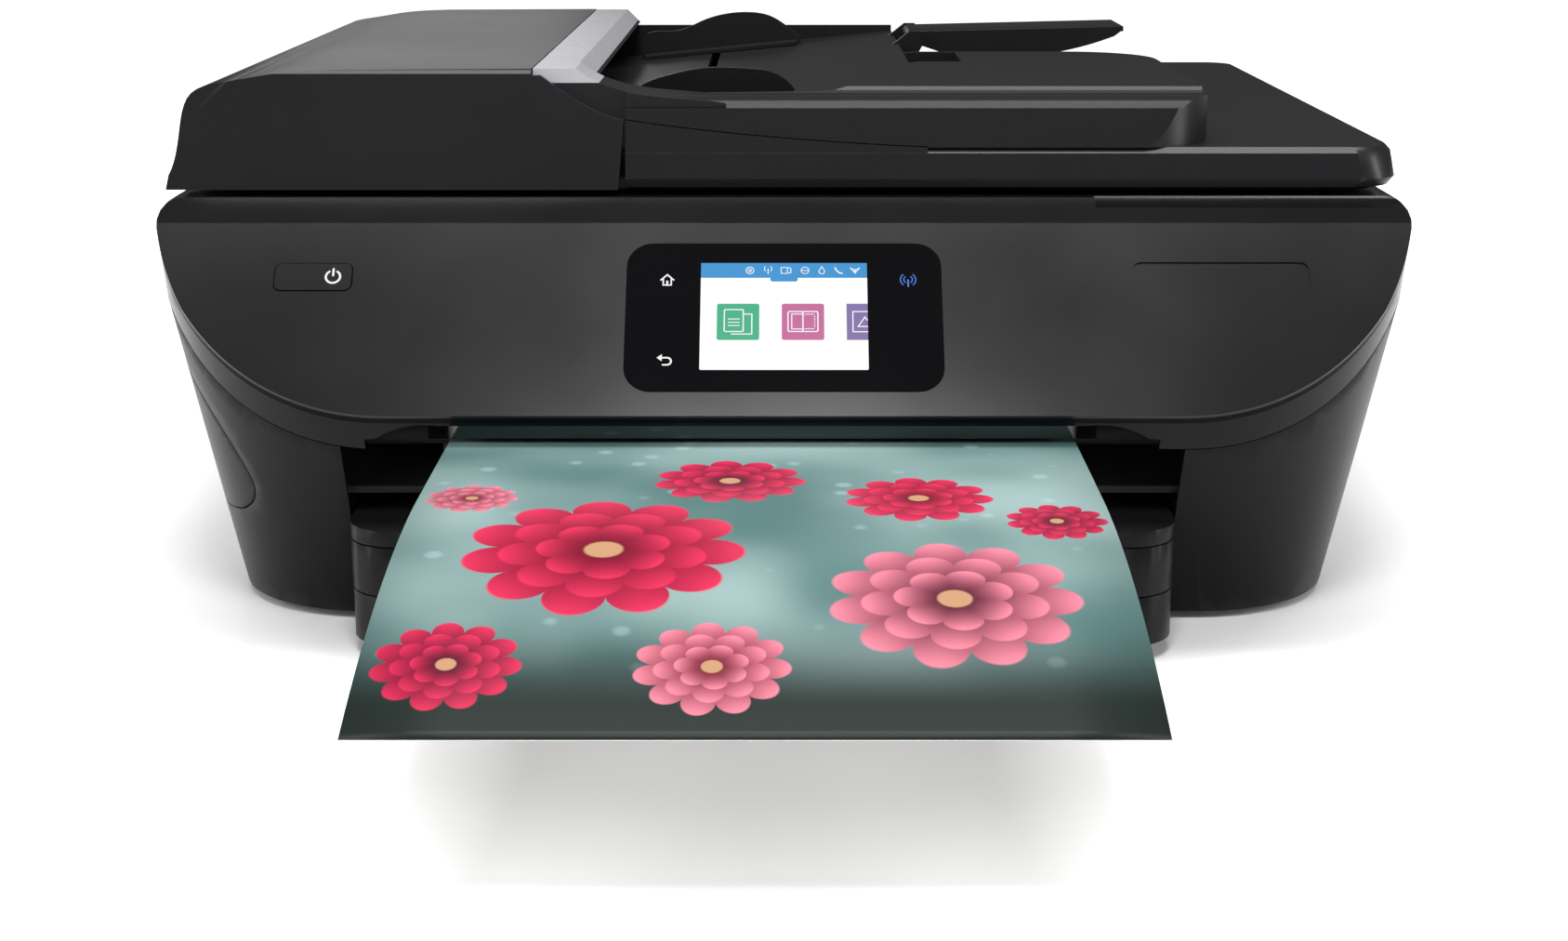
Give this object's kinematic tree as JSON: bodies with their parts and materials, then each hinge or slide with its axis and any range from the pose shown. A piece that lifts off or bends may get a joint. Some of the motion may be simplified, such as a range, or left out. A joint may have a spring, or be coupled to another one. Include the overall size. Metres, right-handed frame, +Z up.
{
  "type": "inkjet printer",
  "caption": "Desktop inkjet printer with a slanted touch panel, flatbed scanner, document feeder, stacked front trays and a printed sheet leaving the exit.",
  "frame": {"origin": "floor under the middle of the bounding box, the printed sheet included", "axes": "+Z up from the feet, front with the trays towards -Y, +X to the right seen from the front"},
  "size_m": [0.4532, 0.6058, 0.1968],
  "materials": {
    "case_black": "satin",
    "panel_black": "satin",
    "gloss_black": "gloss",
    "collar_silver": "satin",
    "touch_glass": "gloss",
    "screen": "gloss",
    "clear_glass": "gloss",
    "steel": "brushed",
    "rubber": "matte",
    "belt": "matte",
    "white_plastic": "matte",
    "grey_plastic": "satin",
    "dark_plastic": "satin",
    "board_green": "satin",
    "cartridge_black": "satin",
    "cartridge_colour": "satin",
    "paper": "satin"
  },
  "bodies": {
    "base": {"base_pan": "case_black", "left_side_cover": "case_black", "right_side_cover": "case_black", "rear_cover": "case_black", "rubber_feet": "rubber", "inner_deck": "grey_plastic", "chassis": "steel", "carriage_rod": "steel", "transport_belt": "belt", "carriage_belt": "belt", "carriage_motor": "steel", "feed_motor": "steel", "platen": "grey_plastic", "service_station": "grey_plastic", "main_board": "board_green", "port_block": "dark_plastic", "power_supply": "steel", "power_inlet": "dark_plastic", "card_reader": "dark_plastic"},
    "feed_drive": {"feed_roller": "rubber", "feed_gear": "white_plastic"},
    "exit_drive": {"exit_roller": "rubber"},
    "star_shaft": {"star_wheels": "steel"},
    "pinion": {"motor_pinion": "white_plastic"},
    "carriage": {"print_carriage": "dark_plastic"},
    "black_ink": {"black_cartridge": "cartridge_black"},
    "colour_ink": {"colour_cartridge": "cartridge_colour"},
    "drive_wheel": {"drive_pulley": "white_plastic"},
    "idler_wheel": {"idler_pulley": "white_plastic"},
    "access_unit": {"scanner_bed": "case_black", "control_panel": "panel_black", "trim_band": "gloss_black", "touch_glass": "touch_glass", "display_module": "screen", "button_board": "board_green", "exit_shield": "gloss_black", "scan_glass": "clear_glass", "scan_rail": "steel", "lid_hinges": "steel"},
    "scan_head": {"scan_bar": "dark_plastic"},
    "power_key": {"power_button": "case_black"},
    "lid": {"lid_shell": "case_black", "lid_pad": "white_plastic", "feeder_frame": "dark_plastic", "feeder_tray": "case_black", "feeder_collar": "collar_silver"},
    "hood": {"feeder_hood": "case_black"},
    "pick": {"pick_roller": "rubber"},
    "feeder_drive": {"drive_roller": "rubber"},
    "guide_front": {"front_guide": "case_black"},
    "guide_rear": {"rear_guide": "case_black"},
    "extension": {"tray_extension": "case_black"},
    "main_tray": {"paper_tray": "case_black"},
    "width_left": {"left_width_guide": "grey_plastic"},
    "width_right": {"right_width_guide": "grey_plastic"},
    "photo_drawer": {"photo_tray": "case_black"},
    "output_drawer": {"output_tray": "case_black"},
    "output_slide": {"output_extension": "case_black"},
    "card_door": {"memory_door": "case_black"},
    "sheet": {"printed_sheet": "paper"}
  },
  "joints": [
    {"name": "access_lift", "type": "hinge", "parent": "base", "child": "access_unit", "pos_m": [0, 0.298, 0.118], "axis": [-1, 0, 0], "range_deg": [0, 35]},
    {"name": "lid_lift", "type": "hinge", "parent": "access_unit", "child": "lid", "pos_m": [0, 0.298, 0.157], "axis": [-1, 0, 0], "range_deg": [0, 75]},
    {"name": "hood_lift", "type": "hinge", "parent": "lid", "child": "hood", "pos_m": [-0.221, 0.12, 0.1575], "axis": [0, -1, 0], "range_deg": [0, 60]},
    {"name": "extension_fold", "type": "hinge", "parent": "lid", "child": "extension", "pos_m": [0.059, 0.2245, 0.1885], "axis": [0, -1, 0], "range_deg": [0, 95]},
    {"name": "pick_spin", "type": "hinge", "parent": "lid", "child": "pick", "pos_m": [-0.1155, 0.14, 0.1813], "axis": [0, 1, 0], "range_deg": [-180, 180]},
    {"name": "feeder_spin", "type": "hinge", "parent": "lid", "child": "feeder_drive", "pos_m": [-0.1655, 0.14, 0.1805], "axis": [0, 1, 0], "range_deg": [-180, 180]},
    {"name": "rear_guide_slide", "type": "slide", "parent": "lid", "child": "guide_rear", "axis": [0, -1, 0], "range_m": [0, 0.05]},
    {"name": "front_guide_slide", "type": "slide", "parent": "lid", "child": "guide_front", "axis": [0, 1, 0], "range_m": [0, 0.05]},
    {"name": "power_press", "type": "slide", "parent": "access_unit", "child": "power_key", "axis": [0, 0.7431, -0.6691], "range_m": [0, 0.001], "stiffness_N_per_m": 400, "springref_m": -0.001},
    {"name": "scan_travel", "type": "slide", "parent": "access_unit", "child": "scan_head", "axis": [1, 0, 0], "range_m": [0, 0.31]},
    {"name": "carriage_travel", "type": "slide", "parent": "base", "child": "carriage", "axis": [-1, 0, 0], "range_m": [0, 0.25]},
    {"name": "black_pull", "type": "slide", "parent": "carriage", "child": "black_ink", "axis": [0, -1, 0], "range_m": [0, 0.04]},
    {"name": "colour_pull", "type": "slide", "parent": "carriage", "child": "colour_ink", "axis": [0, -1, 0], "range_m": [0, 0.04]},
    {"name": "drive_pulley_spin", "type": "hinge", "parent": "base", "child": "drive_wheel", "pos_m": [0.148, 0.092, 0.0905], "axis": [0, -1, 0], "range_deg": [0, 1962.2]},
    {"name": "idler_pulley_spin", "type": "hinge", "parent": "base", "child": "idler_wheel", "pos_m": [-0.152, 0.092, 0.0905], "axis": [0, -1, 0], "range_deg": [0, 1962.2]},
    {"name": "feed_spin", "type": "hinge", "parent": "base", "child": "feed_drive", "pos_m": [0, 0.043, 0.06905], "axis": [1, 0, 0], "range_deg": [-180, 180]},
    {"name": "exit_spin", "type": "hinge", "parent": "base", "child": "exit_drive", "pos_m": [0, -0.052, 0.06905], "axis": [1, 0, 0], "range_deg": [-180, 180]},
    {"name": "star_spin", "type": "hinge", "parent": "base", "child": "star_shaft", "pos_m": [0, -0.052, 0.07945], "axis": [1, 0, 0], "range_deg": [-390, 390]},
    {"name": "pinion_spin", "type": "hinge", "parent": "base", "child": "pinion", "pos_m": [0.174, 0.064, 0.06905], "axis": [1, 0, 0], "range_deg": [-450, 450]},
    {"name": "paper_tray_slide", "type": "slide", "parent": "base", "child": "main_tray", "axis": [0, -1, 0], "range_m": [0, 0.25]},
    {"name": "left_width_slide", "type": "slide", "parent": "main_tray", "child": "width_left", "axis": [1, 0, 0], "range_m": [0, 0.045]},
    {"name": "right_width_slide", "type": "slide", "parent": "main_tray", "child": "width_right", "axis": [-1, 0, 0], "range_m": [0, 0.045]},
    {"name": "photo_tray_slide", "type": "slide", "parent": "base", "child": "photo_drawer", "axis": [0, -1, 0], "range_m": [0, 0.15]},
    {"name": "output_tray_slide", "type": "slide", "parent": "base", "child": "output_drawer", "axis": [0, -1, 0], "range_m": [0, 0.12]},
    {"name": "output_extension_slide", "type": "slide", "parent": "output_drawer", "child": "output_slide", "axis": [0, -1, 0], "range_m": [0, 0.13]},
    {"name": "card_door_swing", "type": "hinge", "parent": "base", "child": "card_door", "pos_m": [-0.2139, 0.00775, 0.05], "axis": [0.1505, 0, -0.9886], "range_deg": [0, 65]},
    {"name": "sheet_feed", "type": "slide", "parent": "base", "child": "sheet", "axis": [0, -1, 0], "range_m": [0, 0.02]}
  ],
  "couplings": [
    {"joint": "front_guide_slide", "follows": "rear_guide_slide", "ratio": 1},
    {"joint": "feeder_spin", "follows": "pick_spin", "ratio": 0.7273},
    {"joint": "drive_pulley_spin", "follows": "carriage_travel", "rad_per_m": 136.99},
    {"joint": "idler_pulley_spin", "follows": "carriage_travel", "rad_per_m": 136.99},
    {"joint": "exit_spin", "follows": "feed_spin", "ratio": 1},
    {"joint": "star_spin", "follows": "feed_spin", "ratio": -2.1667},
    {"joint": "pinion_spin", "follows": "feed_spin", "ratio": -2.5},
    {"joint": "right_width_slide", "follows": "left_width_slide", "ratio": 1}
  ]
}
